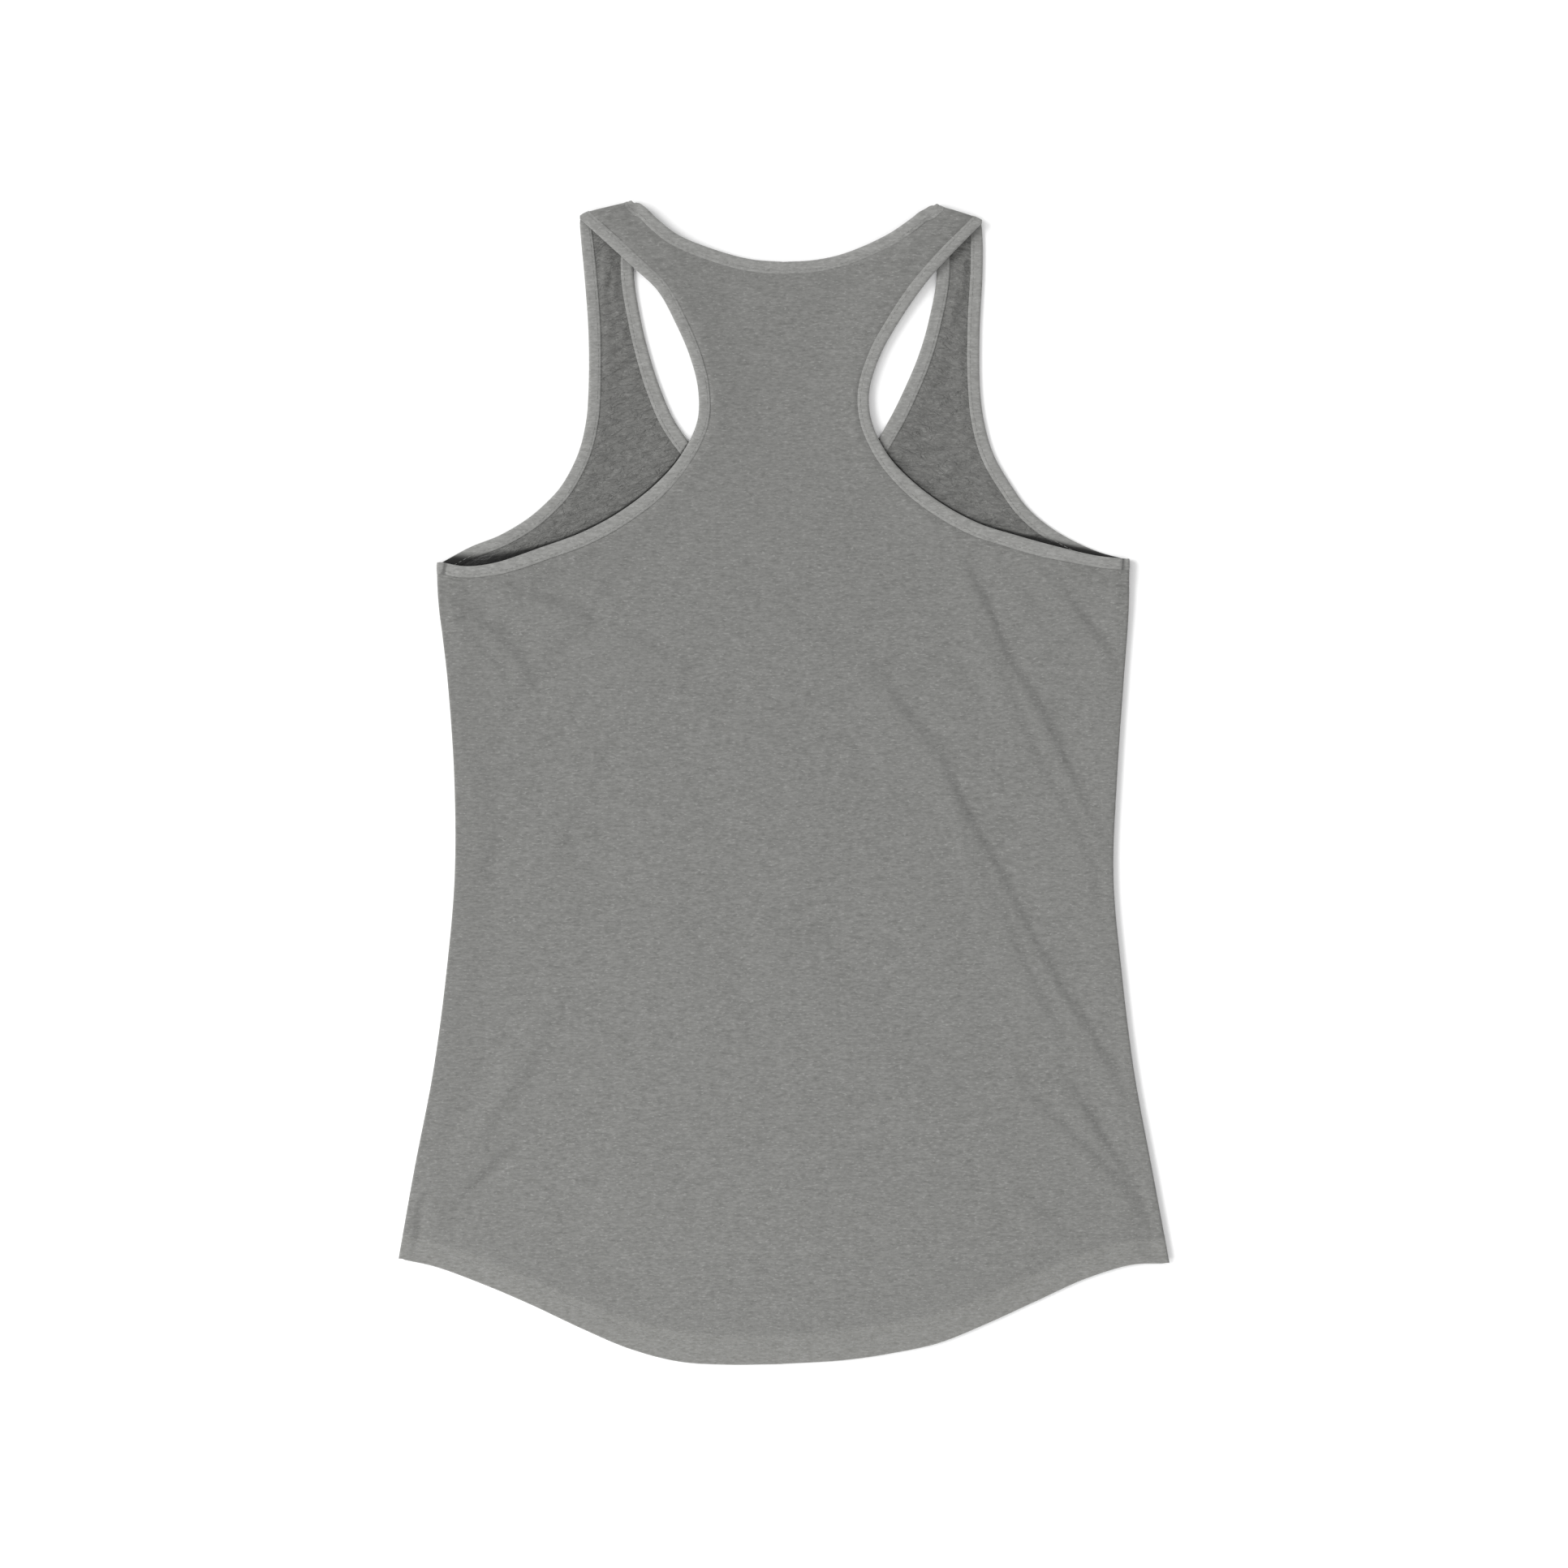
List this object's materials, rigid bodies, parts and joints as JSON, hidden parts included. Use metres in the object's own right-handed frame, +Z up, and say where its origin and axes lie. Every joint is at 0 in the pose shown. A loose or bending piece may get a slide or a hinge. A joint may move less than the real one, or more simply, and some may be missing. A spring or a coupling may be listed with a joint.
{
  "type": "tank top",
  "caption": "Racerback tank top in grey heather jersey, laid flat with its back up, with bound neck and armholes and a curved hem.",
  "frame": {"origin": "centre of the bottom of the bounding box, on the surface that the garment lies on", "axes": "+Z up off the surface, +Y from the hem towards the neck, +X to the viewer's right as seen from above"},
  "size_m": [0.4556, 0.6877, 0.0078],
  "materials": {
    "jersey_outside": "matte heather jersey",
    "jersey_inside": "matte heather jersey",
    "jersey_binding": "matte heather jersey"
  },
  "bodies": {
    "root": {"front_panel": "jersey_inside", "back_panel": "jersey_outside", "neck_binding": "jersey_binding", "armhole_binding_left": "jersey_binding", "armhole_binding_right": "jersey_binding"}
  },
  "joints": []
}
